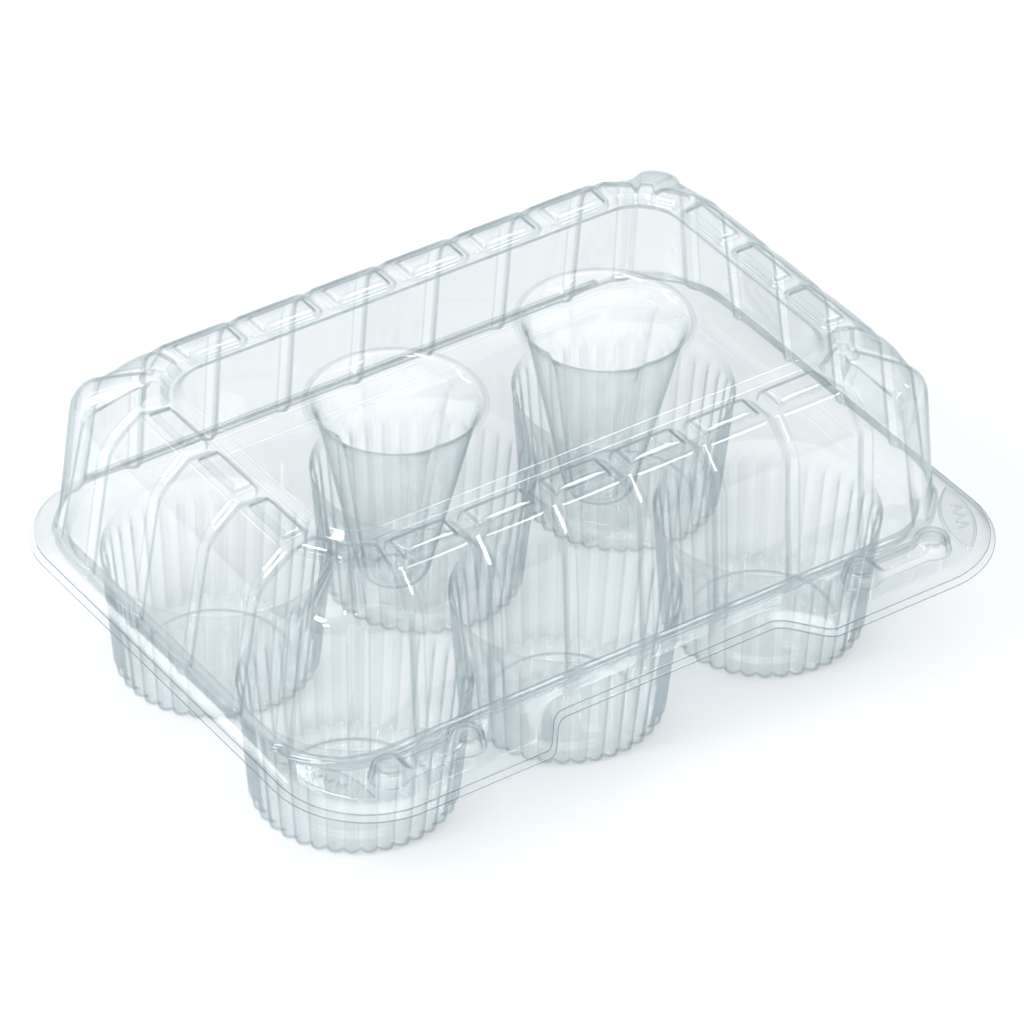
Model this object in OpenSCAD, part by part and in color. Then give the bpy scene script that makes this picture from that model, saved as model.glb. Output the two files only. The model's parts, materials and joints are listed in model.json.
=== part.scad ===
// Clear thermoformed clamshell carton with round compartments.
// A tray of fluted cups and a tall ribbed lid are joined by a living hinge along the rear edge.
// Millimetres, +Z up. X runs along the hinge, -Y is the opening side.
// The origin is the centre of the footprint, on the table.

/* [Cups] */
// Distance between cup centres, both ways
cup_pitch = 73; // [72:0.5:76]
// Cups along the hinge
cup_columns = 3; // [3]
// Cups from front to rear
cup_rows = 2; // [2]
// Outer radius of a cup at its floor
cup_floor_r = 30.5; // [27:0.5:32]
// Outer radius of a cup at its mouth
cup_mouth_r = 34; // [31:0.5:34.5]
// Height of the web between the cup mouths
deck_z = 41.5; // [36:0.5:44]

/* [Rim] */
// Half the length of the rim, at the skirt's lower edge
rim_half_x = 122.5; // [120:0.5:125]
// Front edge at the two pull ears, ahead of the cup centre line
ear_y = 101; // [98:0.5:104]
// Front edge between the ears
front_y = 88; // [86:0.5:90]
// Rear edge, where the hinge runs
rear_y = 79; // [78:0.5:82]
// Top of the tray's flange
flange_z = 47.7; // [46:0.1:49]
// Radius of the front corners
front_corner_r = 30; // [26:1:34]
// Radius of the rear corners
rear_corner_r = 27; // [20:1:30]

/* [Lid] */
// Overall height
total_h = 102; // [98:0.5:108]
// Width of a bay between two grooves, measured along the wall
bay_w = 25.9; // [25.5:0.1:26.2]
// Lid centre line, ahead of the cup centre line
lid_offset = 1.8; // [0:0.1:3]
// Height of the bend between wall and shoulder
bend_z = 91; // [86:0.5:93]
// Depth of the grooves between bays
groove_d = 1.8; // [1:0.1:2.2]
// Half the width of a groove
groove_w = 1.9; // [1.5:0.1:2.4]
// Step from the stacking ledge up to the top panel
panel_step = 2; // [1.5:0.1:3]

/* [Posts] */
// Distance between the two hollow posts
post_pitch = 73; // [72:0.5:76]
// Radius of a post's mouth, outside its rounded edge
post_mouth_r = 25; // [22:0.5:26]
// Radius of a post's foot
post_foot_r = 10; // [8:0.5:12]
// Space between a post's foot and the web below it
post_gap = 0.5; // [0.3:0.1:1]

/* [Sheet] */
// Thickness of the formed sheet
sheet = 0.4; // [0.3:0.05:0.6]
// Space between nested faces of lid and tray
nest_gap = 0.3; // [0.25:0.05:0.4]

/* [Hidden] */

clear_sheet = [0.86, 0.92, 0.94, 0.5];
tray_sheet = [0.80, 0.88, 0.92, 0.5];
hinge_color = [0.70, 0.80, 0.86, 0.6];

// The footprint's centre is put on the origin, so everything is drawn about the cup centre
// line and moved back by this much.
hinge_bead_r = 0.65;
shift_y = (ear_y - rear_y - hinge_bead_r) / 2;

// Web between the cups, and the step around it
web_half_x = 109.5;
web_half_y = 72.5;
web_corner_r = 20;
step_flare = 1;

// Rim outline
mid_end_x = 36;
ear_start_x = 51;
curve_steps = 8;
arc_steps = 10;
middle_steps = 4;
side_steps = 16;
skirt_end = 3;
skirt_fade = 12;
hinge_clear = 1.2;
hinge_half_x = 92;

// Heights of the rim
tray_lip_drop = 2.9;
lid_flange_z = flange_z + nest_gap + sheet;
lid_lip_drop = 2;
fold_z = flange_z + nest_gap / 2;

// Rim profile: how far the lip, the waist and the edge of the flat flange are set in
tray_rim_insets = [0, 3.2, 5.6];
lid_rim_insets = [1.5, 2.9, 4.8];
waist_drop = 1;

// Inner edge of the lid's flange, about the lid's own centre line
lid_flange_half_x = 110.3;
lid_flange_half_y = 69.3;
lid_flange_r = 22;

// Lid heights and outlines, about the lid's own centre line
ledge_z = total_h - panel_step;
bend_under_z = bend_z - sheet / 2;
front_bays = 6;
side_bays = 3;
panel_half_x = 85.5;
panel_half_y = 45.7;
panel_corner_r = 13;
panel_edge_w = 2.4;

// Stacking pads on the ledge
pad_len = 17.8;
pad_w = 5;
pad_h = 1.7;
pad_front_y = 57.8;
pad_side_x = 96.1;
corner_pad_x = 85.1;
corner_pad_y = 48.1;
corner_pad_len = 17;
corner_pad_w = 4.4;

// Snap closures on the ears
snap_x = 82;
snap_y = 86.2;
snap_end_r = 4.9;
snap_waist = 3.4;
snap_half = 12.8;
snap_h = 4.4;

// Thumb pads at the front corners
thumb_x = 110;
thumb_y = 79;
thumb_r = 26.5;
thumb_half_w = 5;
thumb_h = 0.8;
thumb_turn = 25;
chevron_pitch = 4;
chevron_tip = 2;
chevron_half_h = 1.5;
chevron_w = 1.4;

// ---------- outlines ----------

function unit(v) = v / norm(v);
function turned(v) = [v[1], -v[0]];
function clamp(v, lim) = min(max(v, -lim), lim);
function smooth(t) = let (u = min(max(t, 0), 1)) u * u * (3 - 2 * u);

// Outward direction of a closed outline, counter-clockwise, at point i
function outward(p, i) =
    let (n = len(p), a = p[(i + n - 1) % n], b = p[(i + 1) % n])
    unit(turned(b - a));

function inset(p, d) = [for (i = [0 : len(p) - 1]) p[i] - d * outward(p, i)];
function raised(p, z) = [for (q = p) [q[0], q[1], z]];
function moved(p, y) = [for (q = p) [q[0], q[1] + y]];
function mirrored(p) = [for (i = [len(p) - 1 : -1 : 0]) [-p[i][0], p[i][1]]];

function arc(cx, cy, r, from, to, n) =
    [for (i = [0 : n]) let (a = from + (to - from) * i / n) [cx + r * cos(a), cy + r * sin(a)]];

// Right half of the rim, from the front centre round to the rear centre
function rim_half() = concat(
    [for (i = [0 : middle_steps - 1]) [mid_end_x * (i + 0.5) / middle_steps, -front_y]],
    [for (i = [0 : curve_steps]) [
        mid_end_x + (ear_start_x - mid_end_x) * i / curve_steps,
        -front_y - (ear_y - front_y) * (1 - cos(180 * i / curve_steps)) / 2]],
    arc(rim_half_x - front_corner_r, -ear_y + front_corner_r, front_corner_r, -90, 0, arc_steps),
    [for (i = [1 : side_steps - 1]) [rim_half_x, -ear_y + front_corner_r
        + (rear_y + ear_y - front_corner_r - rear_corner_r) * i / side_steps]],
    arc(rim_half_x - rear_corner_r, rear_y - rear_corner_r, rear_corner_r, 0, 90, arc_steps),
    [for (i = [1 : middle_steps]) [(rim_half_x - rear_corner_r) * (1 - (i - 0.5) / middle_steps),
        rear_y]]
);
function rim_outline() = concat(rim_half(), mirrored(rim_half()));

// Nearest point of a rounded rectangle, for joining an outer outline to an inner one
function onto(q, hx, hy, r) =
    let (core = [clamp(q[0], hx - r), clamp(q[1], hy - r)])
    core + r * unit(q - core);

// Outline of the web grown by d, with one point for each point of the rim
function web_outline(d) = [for (q = rim_outline())
    onto(q, web_half_x + d, web_half_y + d, web_corner_r + d)];

function rounded_rect(hx, hy, r) =
    [for (k = [0 : 3]) each arc(
        (k == 0 || k == 3 ? 1 : -1) * (hx - r),
        (k < 2 ? 1 : -1) * (hy - r), r, 90 * k, 90 * k + 90, arc_steps)];

// Corners of the lid's wall at three levels, first quadrant, from the side bays round to the
// front bays. Every corner has a groove.
function corner_marks(level) =
    level == "top" ? [[98, 1.5 * bay_w], [90.5, 49], [86.3, 53.8], [3 * bay_w, 61]] :
    level == "bend" ? [[107.8, 1.5 * bay_w], [105, 55], [93.5, 66.6], [3 * bay_w, 69.8]] :
    [[114.5, 1.5 * bay_w], [112.3, 58.5], [97.4, 73.4], [3 * bay_w, 73.4]];

// Groove centres in the first quadrant, including those between the straight bays
function quarter_marks(level) =
    let (c = corner_marks(level)) concat(
        [for (j = [0 : (side_bays - 3) / 2]) [c[0][0], (j + 0.5) * bay_w]],
        c,
        [for (k = [front_bays / 2 - 1 : -1 : 1]) [k * bay_w, c[3][1]]]);

// All groove centres, counter-clockwise
function wall_marks(level) =
    let (q = quarter_marks(level), half = concat(q, [[0, q[len(q) - 1][1]]], mirrored(q)))
    concat(half, [for (p = half) -p]);

// How far a corner bay swells out, as a share of its length
function corner_swell(level) = level == "bend" ? 0.2 : 0.09;
function in_corner(i) = let (j = i % 15) (j > 0 && j < 4) || (j > 9 && j < 13);

// A wall outline: each groove centre becomes two edge points and a valley between them, and a
// corner bay has two more points that round it out
function wall_outline(level, deep = groove_d, wide = groove_w) =
    let (m = wall_marks(level), n = len(m)) [for (i = [0 : n - 1])
        let (
            bay = m[(i + 1) % n] - m[i],
            before = unit(m[i] - m[(i + n - 1) % n]),
            after = unit(bay)
        ) each concat([
            m[i] - wide * before,
            m[i] - deep * unit(turned(before + after)),
            m[i] + wide * after],
            [if (in_corner(i)) each [for (t = [0.38, 0.62])
                m[i] + t * bay + corner_swell(level) * sin(180 * t) * turned(bay)]])];

function lid_wall_ring(level, d, z) = raised(moved(inset(wall_outline(level), d), -lid_offset), z);

// ---------- solids from outlines ----------

// A closed band through rings of equal length; the last ring joins the first
module band(rings) {
    n = len(rings[0]);
    m = len(rings);
    polyhedron(
        points = [for (r = rings) each r],
        faces = [for (j = [0 : m - 1]) for (i = [0 : n - 1])
            let (a = j * n, b = ((j + 1) % m) * n, k = (i + 1) % n)
            each [[a + i, b + i, b + k], [a + i, b + k, a + k]]],
        convexity = 6);
}

module plate(outline, z, thick) {
    translate([0, 0, z])
        linear_extrude(height = thick)
            polygon(outline);
}

// 1 where the rim has its full skirt, and 0 along the hinge, where a skirt would stop the fold
function skirt_share(q) = smooth((rear_y - skirt_end - q[1]) / skirt_fade);

// A ring of the rim's profile: inset and drop below the flange's top where the skirt is full,
// then the same two along the hinge
function rim_ring(top, full_in, full_drop, rear_in, rear_drop) =
    let (o = rim_outline()) [for (i = [0 : len(o) - 1])
        let (
            k = skirt_share(o[i]),
            q = o[i] - (full_in * k + (hinge_clear + rear_in) * (1 - k)) * outward(o, i)
        ) [q[0], q[1], top - full_drop * k - rear_drop * (1 - k)]];

// Flange with a rounded edge and a flared skirt, round the inner outline given
module flanged_rim(top, lip_drop, inner, insets) {
    lip_in = insets[0];
    waist_in = insets[1];
    edge_in = insets[2];
    step = sheet / 3;
    band([
        raised(inner, top - sheet),
        rim_ring(top, edge_in + step, sheet, 2 * step, sheet),
        rim_ring(top, waist_in + step, waist_drop + sheet, step, sheet),
        rim_ring(top, lip_in + step, lip_drop, 0, sheet),
        rim_ring(top, lip_in, lip_drop - sheet, 0, 2 * step),
        rim_ring(top, waist_in, waist_drop, 0, step),
        rim_ring(top, edge_in, 0, 0, 0),
        raised(inner, top)]);
}

module at_centre() {
    translate([0, shift_y, 0])
        children();
}

// ---------- tray ----------

function cup_centre(column, row) = [
    (column - (cup_columns - 1) / 2) * cup_pitch,
    (row - (cup_rows - 1) / 2) * cup_pitch];

// A web with a hole for every cup; the cups hang in the holes
module tray_web() {
    color(tray_sheet)
        at_centre()
            difference() {
                plate(web_outline(0), deck_z - sheet, sheet);
                for (column = [0 : cup_columns - 1], row = [0 : cup_rows - 1])
                    translate(concat(cup_centre(column, row), [deck_z - 2 * sheet]))
                        cylinder(r = cup_mouth_r, h = 3 * sheet, $fn = 72);
            }
}

module tray_step() {
    low = web_outline(0);
    wide = web_outline(sheet);
    high = web_outline(step_flare);
    top = web_outline(step_flare + sheet);
    color(tray_sheet)
        at_centre()
            band([
                raised(low, deck_z - sheet), raised(low, deck_z), raised(high, flange_z),
                raised(top, flange_z), raised(top, flange_z - sheet), raised(wide, deck_z - sheet)]);
}

module tray_rim() {
    color(tray_sheet)
        at_centre()
            difference() {
                flanged_rim(flange_z, tray_lip_drop, web_outline(step_flare + sheet),
                    tray_rim_insets);
                for (side = [-1, 1])
                    snap_shape(side, flange_z - 2, 4, -sheet);
            }
}

// A cup is a cone-shaped shell with a rounded foot and a shallow ring pressed into its floor
module cup(column, row) {
    foot_r = 3;
    ring_r = 20;
    ring_w = 2;
    ring_h = 1.2;
    bend = [cup_floor_r - foot_r, foot_r];
    color(tray_sheet)
        at_centre()
            translate(cup_centre(column, row))
                rotate_extrude($fn = 72)
                    polygon(concat(
                        [[0, ring_h], [ring_r - ring_w, ring_h], [ring_r, 0]],
                        [for (a = [-90 : 18 : 0]) bend + foot_r * [cos(a), sin(a)]],
                        [[cup_mouth_r, deck_z], [cup_mouth_r - sheet, deck_z]],
                        [for (a = [0 : -18 : -90]) bend + (foot_r - sheet) * [cos(a), sin(a)]],
                        [[ring_r + sheet, sheet], [ring_r - ring_w + sheet, ring_h + sheet],
                         [0, ring_h + sheet]]));
}

// Two round ends joined by a narrower bar, solid through its height
module snap_shape(side, z, h, grow) {
    translate([side * snap_x, -snap_y, z])
        linear_extrude(height = h)
            union() {
                for (end = [-1, 1])
                    translate([end * snap_half, 0])
                        circle(r = snap_end_r + grow, $fn = 36);
                square([2 * snap_half, 2 * (snap_waist + grow)], center = true);
            }
}

module snap_cap(side, z, h, grow) {
    difference() {
        snap_shape(side, z, h, grow);
        snap_shape(side, z - 1, h + 1 - sheet, grow - sheet);
    }
}

module snap_stud(side) {
    color(tray_sheet)
        at_centre()
            snap_cap(side, flange_z, snap_h, 0);
}

// A thin bar on the tray's rear edge, thickened to a bead on the fold line
module hinge_strip() {
    color(hinge_color)
        at_centre()
            union() {
                translate([-hinge_half_x, rear_y - hinge_clear, flange_z - sheet])
                    cube([2 * hinge_half_x, hinge_clear, sheet]);
                translate([-hinge_half_x, rear_y, fold_z])
                    rotate([0, 90, 0])
                        cylinder(r = hinge_bead_r, h = 2 * hinge_half_x, $fn = 32);
            }
}
// ---------- lid ----------

module lid_rim() {
    inner = [for (q = rim_outline())
        onto([q[0], q[1] + lid_offset], lid_flange_half_x, lid_flange_half_y, lid_flange_r)];
    color(clear_sheet)
        at_centre()
            difference() {
                flanged_rim(lid_flange_z, lid_lip_drop, moved(inner, -lid_offset), lid_rim_insets);
                for (side = [-1, 1])
                    snap_shape(side, lid_flange_z - 2, 4, 2 * nest_gap);
            }
}

module lid_wall() {
    color(clear_sheet)
        at_centre()
            band([
                lid_wall_ring("foot", sheet, lid_flange_z), lid_wall_ring("bend", sheet, bend_under_z),
                lid_wall_ring("bend", 0, bend_z), lid_wall_ring("foot", 0, lid_flange_z)]);
}

module lid_shoulder() {
    color(clear_sheet)
        at_centre()
            band([
                lid_wall_ring("bend", sheet, bend_under_z),
                lid_wall_ring("top", 0, ledge_z - sheet),
                lid_wall_ring("top", 0, ledge_z), lid_wall_ring("bend", 0, bend_z)]);
}

module lid_ledge() {
    w = panel_edge_w;
    color(clear_sheet)
        at_centre()
            translate([0, -lid_offset, 0])
                difference() {
                    plate(wall_outline("top"), ledge_z - sheet, sheet);
                    plate(rounded_rect(panel_half_x + w, panel_half_y + w, panel_corner_r + w),
                        ledge_z - 2 * sheet, 3 * sheet);
                }
}

module lid_panel_edge() {
    w = panel_edge_w;
    in = moved(rounded_rect(panel_half_x, panel_half_y, panel_corner_r), -lid_offset);
    out = moved(rounded_rect(panel_half_x + w, panel_half_y + w, panel_corner_r + w), -lid_offset);
    color(clear_sheet)
        at_centre()
            band([
                raised(out, ledge_z - sheet), raised(in, total_h - sheet),
                raised(in, total_h), raised(out, ledge_z)]);
}

module lid_top_panel() {
    color(clear_sheet)
        at_centre()
            translate([0, -lid_offset, 0])
                difference() {
                    plate(rounded_rect(panel_half_x, panel_half_y, panel_corner_r),
                        total_h - sheet, sheet);
                    for (side = [-1, 1])
                        translate([side * post_pitch / 2, 0, total_h - 2 * sheet])
                            cylinder(r = post_mouth_r, h = 3 * sheet, $fn = 72);
                }
}

// A hollow post: rounded mouth, tapered wall, closed foot just above the web
module post(side) {
    round_r = 4;
    foot_z = deck_z + post_gap;
    bend = [post_mouth_r, total_h - round_r];
    color(clear_sheet)
        at_centre()
            translate([side * post_pitch / 2, -lid_offset, 0])
                rotate_extrude($fn = 72)
                    polygon(concat(
                        [[0, foot_z], [post_foot_r, foot_z]],
                        [for (a = [180 : -18 : 90]) bend + (round_r - sheet) * [cos(a), sin(a)]],
                        [for (a = [90 : 18 : 180]) bend + round_r * [cos(a), sin(a)]],
                        [[post_foot_r - sheet, foot_z + sheet], [0, foot_z + sheet]]));
}

// A raised pad, open underneath, standing on the ledge
module pad(x, y, along, across, turn = 0) {
    translate([x, y, ledge_z])
        rotate(turn)
            difference() {
                translate([-along / 2, -across / 2, 0])
                    cube([along, across, pad_h]);
                translate([-along / 2 + sheet, -across / 2 + sheet, -1])
                    cube([along - 2 * sheet, across - 2 * sheet, pad_h + 1 - sheet]);
            }
}

// Pads of the front or rear row, with the two corner pads at its ends
module long_pads(side) {
    color(clear_sheet)
        at_centre()
            translate([0, -lid_offset, 0]) {
                for (k = [0 : front_bays - 1])
                    pad((k - (front_bays - 1) / 2) * bay_w, side * (pad_front_y - pad_w / 2),
                        pad_len, pad_w);
                for (end = [-1, 1])
                    pad(end * corner_pad_x, side * corner_pad_y, corner_pad_len, corner_pad_w,
                        -45 * side * end);
            }
}

module short_pads(side) {
    color(clear_sheet)
        at_centre()
            translate([0, -lid_offset, 0])
                for (j = [0 : side_bays - 1])
                    pad(side * (pad_side_x - pad_w / 2), (j - (side_bays - 1) / 2) * bay_w,
                        pad_w, pad_len);
}

module snap_socket(side) {
    color(clear_sheet)
        at_centre()
            snap_cap(side, lid_flange_z, snap_h, 2 * nest_gap + sheet);
}

// A lens-shaped pad with three chevrons that point to the corner
module thumb_pad(side) {
    color(clear_sheet)
        at_centre()
            translate([side * thumb_x, -thumb_y, lid_flange_z])
                rotate(side > 0 ? -thumb_turn : 180 + thumb_turn) {
                    linear_extrude(height = thumb_h)
                        intersection_for(way = [-1, 1])
                            translate([way * (thumb_r - thumb_half_w), 0])
                                circle(r = thumb_r, $fn = 60);
                    for (k = [-1 : 1])
                        translate([0, chevron_pitch * k, thumb_h])
                            linear_extrude(height = thumb_h / 2)
                                chevron();
                }
}

module chevron() {
    tail = -chevron_tip / 2;
    polygon([
        [tail, -chevron_half_h], [tail + chevron_w, -chevron_half_h],
        [tail + chevron_tip + chevron_w, 0],
        [tail + chevron_w, chevron_half_h], [tail, chevron_half_h], [tail + chevron_tip, 0]]);
}

tray_web();
tray_step();
tray_rim();
cup(0, 0);  // front_left_cup
cup(1, 0);  // front_middle_cup
cup(2, 0);  // front_right_cup
cup(0, 1);  // rear_left_cup
cup(1, 1);  // rear_middle_cup
cup(2, 1);  // rear_right_cup
snap_stud(-1);  // left_snap_stud
snap_stud(1);  // right_snap_stud
hinge_strip();
lid_rim();
lid_wall();
lid_shoulder();
lid_ledge();
lid_panel_edge();
lid_top_panel();
long_pads(-1);  // front_stacking_pads
long_pads(1);  // rear_stacking_pads
short_pads(-1);  // left_stacking_pads
short_pads(1);  // right_stacking_pads
post(-1);  // left_post
post(1);  // right_post
snap_socket(-1);  // left_snap_socket
snap_socket(1);  // right_snap_socket
thumb_pad(-1);  // left_thumb_pad
thumb_pad(1);  // right_thumb_pad
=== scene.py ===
"""Looks for a clear thermoformed clamshell carton: lid, tray of fluted cups and living hinge.

Each shell is one sheet built from rings, from its lip inwards. Outlines are worked out in
millimetres and turned into metres when a mesh is made.
"""

import json
import math

import bmesh
import bpy
import numpy as np
from mathutils import Matrix, Vector
from mathutils.geometry import delaunay_2d_cdt


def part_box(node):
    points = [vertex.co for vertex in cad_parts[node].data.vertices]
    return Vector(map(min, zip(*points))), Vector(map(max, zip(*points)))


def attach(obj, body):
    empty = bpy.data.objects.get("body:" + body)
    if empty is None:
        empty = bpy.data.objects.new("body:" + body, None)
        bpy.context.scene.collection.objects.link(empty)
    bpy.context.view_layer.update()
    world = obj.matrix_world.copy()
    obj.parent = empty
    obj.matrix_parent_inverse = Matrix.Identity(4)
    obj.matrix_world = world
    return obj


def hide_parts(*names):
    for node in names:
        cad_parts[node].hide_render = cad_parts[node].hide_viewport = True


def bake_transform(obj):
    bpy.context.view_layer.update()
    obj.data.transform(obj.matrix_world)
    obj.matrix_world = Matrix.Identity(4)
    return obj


MM = 0.001
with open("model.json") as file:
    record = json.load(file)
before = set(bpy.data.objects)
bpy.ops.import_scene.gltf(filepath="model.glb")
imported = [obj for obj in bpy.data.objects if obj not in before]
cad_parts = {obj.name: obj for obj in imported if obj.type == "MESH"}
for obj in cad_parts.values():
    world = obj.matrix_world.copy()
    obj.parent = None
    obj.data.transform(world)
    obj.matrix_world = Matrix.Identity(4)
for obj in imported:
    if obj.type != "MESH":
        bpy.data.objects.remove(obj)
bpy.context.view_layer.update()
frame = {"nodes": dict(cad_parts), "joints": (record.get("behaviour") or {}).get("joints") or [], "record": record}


# ---------- sizes from the frame, in millimetres ----------


def box_mm(node):
    low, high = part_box(node)
    return np.array(low) / MM, np.array(high) / MM


tray_rim_low, tray_rim_high = box_mm("tray_rim")
lid_rim_low, lid_rim_high = box_mm("lid_rim")
panel_low, panel_high = box_mm("lid_top_panel")
web_low, web_high = box_mm("tray_web")
hinge = np.array(frame["joints"][0]["pos_m"]) / MM

SHEET = 0.4

# The rim in plan: the ears stand out in front of a straight middle.
RIM_HALF_X = tray_rim_high[0]
EAR_Y = -tray_rim_low[1]
REAR_Y = hinge[1]
EAR_DEPTH = 13.0
MID_END_X = 36.0
EAR_START_X = 51.0
FRONT_CORNER_R = 30.0
REAR_CORNER_R = 27.0
CORNER_STEPS = 40
HINGE_CLEAR = 1.2

# Centre lines and levels.
CUP_LINE_Y = (web_low[1] + web_high[1]) / 2
LID_LINE_Y = (panel_low[1] + panel_high[1]) / 2
TRAY_LIP_Z = tray_rim_low[2]
TRAY_FLANGE_Z = tray_rim_high[2]
LID_LIP_Z = lid_rim_low[2]
LID_FLANGE_Z = lid_rim_high[2]
DECK_Z = web_high[2]
TOP_Z = panel_high[2]
LEDGE_Z = TOP_Z - 2.0
BEND_Z = 91.0

# The lid's bays, ledge and top panel.
BAY_W = 25.9
LONG_HALF = 3 * BAY_W
SIDE_HALF = 1.5 * BAY_W
GROOVE_REACH = 2.6
PLINTH_H = 1.3
PLINTH_OUT = 0.9
PLINTH_DIP = 0.8
DIAGONAL_RISE = 2.5
SHOULDER_R = 6.0
GROOVE_SHARPER_BY = 3.0
PAD_HEIGHT = 1.9
PAD_KNEE = 1.0
CHANNEL_DROP = 0.9
TERRACE_SHARE = 0.84
TERRACE_CORNER = 5.5
PANEL_HALF = (panel_high - panel_low)[:2] / 2
PANEL_CORNER_R = 13.0
PANEL_EDGE_W = 2.4
PANEL_FLAT_IN = 1.5

# The tray's web and the step up from it to the rim.
WEB_CORNER_R = 20.0
WEB_EDGE = 1.2
STEP_FLARE = 1.0

# Posts and cups.
POST_STATIONS = 96
POST_FOOT_RISE = 0.7
FLUTES = 36
FLUTE_DEPTH = 1.3
STATIONS_PER_FLUTE = 6
CUP_FLOOR_R = 30.5
CUP_FLOOR_RISE = 1.2

# Snaps: two round ends joined by a narrower, lower bar.
SNAP_STATIONS = 96
SNAP_H = 4.4
SNAP_END_AT = 12.8
SNAP_WAIST_IN = 1.5
SNAP_BAR_DROP = 1.6
SNAP_BAR_HALF = 7.6
SNAP_BAR_BLEND = 1.2
SNAP_WINDOW_PAST_END = 12.7

# Thumb pads: a lens between two arcs, with chevrons on it.
THUMB_R = 26.5
THUMB_HALF_W = 5.0
THUMB_TURN = 25.0
THUMB_H = 0.8
CHEVRON_PITCH = 4.0
CHEVRON_H = 0.4


# ---------- outlines ----------


def smooth(t):
    """0 below 0, 1 above 1, and an S-shaped curve between them."""
    u = np.clip(t, 0.0, 1.0)
    return u * u * (3 - 2 * u)


def unit(v):
    """Each vector of an array brought to length 1."""
    v = np.asarray(v, float)
    return v / np.maximum(np.linalg.norm(v, axis=-1, keepdims=True), 1e-9)


def outward(ring):
    """Outward direction, in plan, at each point of a counter-clockwise ring."""
    tangent = np.roll(ring, -1, axis=0) - np.roll(ring, 1, axis=0)
    return unit(np.stack([tangent[:, 1], -tangent[:, 0]], axis=1))


def inset(ring, distance):
    """A ring in plan moved inwards; a negative distance moves it outwards."""
    return ring - outward(ring) * distance


def raised(ring, z):
    """A ring in plan set at one height, or at a height for each point."""
    return np.column_stack([ring, np.broadcast_to(z, len(ring))])


def arc(centre, radius, start, end, n):
    """An arc in plan between two angles in degrees, in n steps."""
    a = np.radians(np.linspace(start, end, n + 1))
    return np.stack([centre[0] + radius * np.cos(a), centre[1] + radius * np.sin(a)], axis=1)


def onto_rounded(points, half, radius, centre_y):
    """Nearest points of a rounded rectangle centred on x = 0."""
    q = points - [0, centre_y]
    core = np.clip(q, -(np.array(half) - radius), np.array(half) - radius)
    return core + radius * unit(q - core) + [0, centre_y]


def length_so_far(curve):
    """Distance from an open curve's start to each of its points."""
    return np.concatenate([[0], np.cumsum(np.linalg.norm(np.diff(curve, axis=0), axis=1))])


def along(curve, shares):
    """Points at given shares of an open curve's length."""
    run = length_so_far(curve)
    at = shares * run[-1]
    return np.stack([np.interp(at, run, curve[:, k]) for k in (0, 1)], axis=1)


def about(centre, angles, radii, z):
    """A ring about a centre, with a radius for each angle, at one height."""
    x = centre[0] + radii * np.cos(angles)
    y = centre[1] + radii * np.sin(angles)
    return raised(np.stack([x, y], axis=1), z)


def front_edge_y(x):
    """Front edge of the rim: a straight middle, an S-curve and an ear on each side."""
    t = (np.abs(x) - MID_END_X) / (EAR_START_X - MID_END_X)
    share = (1 - np.cos(np.pi * np.clip(t, 0, 1))) / 2
    return -(EAR_Y - EAR_DEPTH) - EAR_DEPTH * share


def rim_corner(front):
    """Curve of a right-hand rim corner, from the long edge to the side."""
    if front:
        c = (RIM_HALF_X - FRONT_CORNER_R, -EAR_Y + FRONT_CORNER_R)
        return arc(c, FRONT_CORNER_R, -90, 0, CORNER_STEPS)
    c = (RIM_HALF_X - REAR_CORNER_R, REAR_Y - REAR_CORNER_R)
    return arc(c, REAR_CORNER_R, 90, 0, CORNER_STEPS)


# Groove centres of one lid corner, from the side bays to the long row, about the lid's centre.
CORNER_MARKS = {
    "top": [(98.0, SIDE_HALF), (90.5, 49.0), (86.3, 53.8), (LONG_HALF, 61.0)],
    "bend": [(107.8, SIDE_HALF), (105.0, 55.0), (93.5, 66.6), (LONG_HALF, 69.8)],
    "foot": [(114.5, SIDE_HALF), (112.3, 58.5), (97.4, 73.4), (LONG_HALF, 73.4)],
}


def wall_marks(level):
    """All groove centres of the lid's wall at a level, counter-clockwise from the right side."""
    corner = CORNER_MARKS[level]
    quarter = [(corner[0][0], 0.5 * BAY_W)] + corner
    quarter += [(k * BAY_W, corner[3][1]) for k in (2, 1)]
    half = quarter + [(0.0, corner[3][1])] + [(-x, y) for x, y in reversed(quarter)]
    marks = np.array(half + [(-x, -y) for x, y in half])
    return marks + [0, LID_LINE_Y]


# How far the wall stands out from its groove centres at each level: in the groove, on the flat
# of a bay, and the extra swell at a bay's middle. "diagonal" is a corner's middle bay, "beside"
# the bays on its two sides, and "bay" every other one.
STAND_OUT = {
    "top": {"bay": (0.0, 1.2, 0.2), "beside": (0.2, 1.3, 0.6), "diagonal": (0.8, 2.6, 1.4)},
    "bend": {"bay": (0.0, 1.7, 0.4), "beside": (0.8, 2.1, 1.4), "diagonal": (2.6, 4.4, 2.7)},
    "foot": {"bay": (0.0, 1.4, 0.2), "beside": (0.4, 1.6, 0.8), "diagonal": (0.8, 2.2, 1.2)},
}

# Stations along one bay: millimetres from its left groove, shares of its length, and
# millimetres from its right groove. In a bay shorter than FULL_BAY they stand closer together.
NEAR = np.array([0.0, 0.45, 0.9, 1.4, 2.0, 2.7, 3.5, 3.8, 5.0])
SHARES = np.linspace(0.32, 0.68, 7)
FULL_BAY = 18.0
PER_BAY = 2 * len(NEAR) - 1 + len(SHARES)
BAYS = len(wall_marks("top"))

# Bays are counted from the right side. The lid is point symmetrical, so half the count is used.
HALF_TURN = BAYS // 2
CORNER_BAYS = (1, 2, 3, 10, 11, 12)
FIRST_CORNER_BAYS = (1, 10)
DIAGONAL_BAYS = (2, 11)

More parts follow.
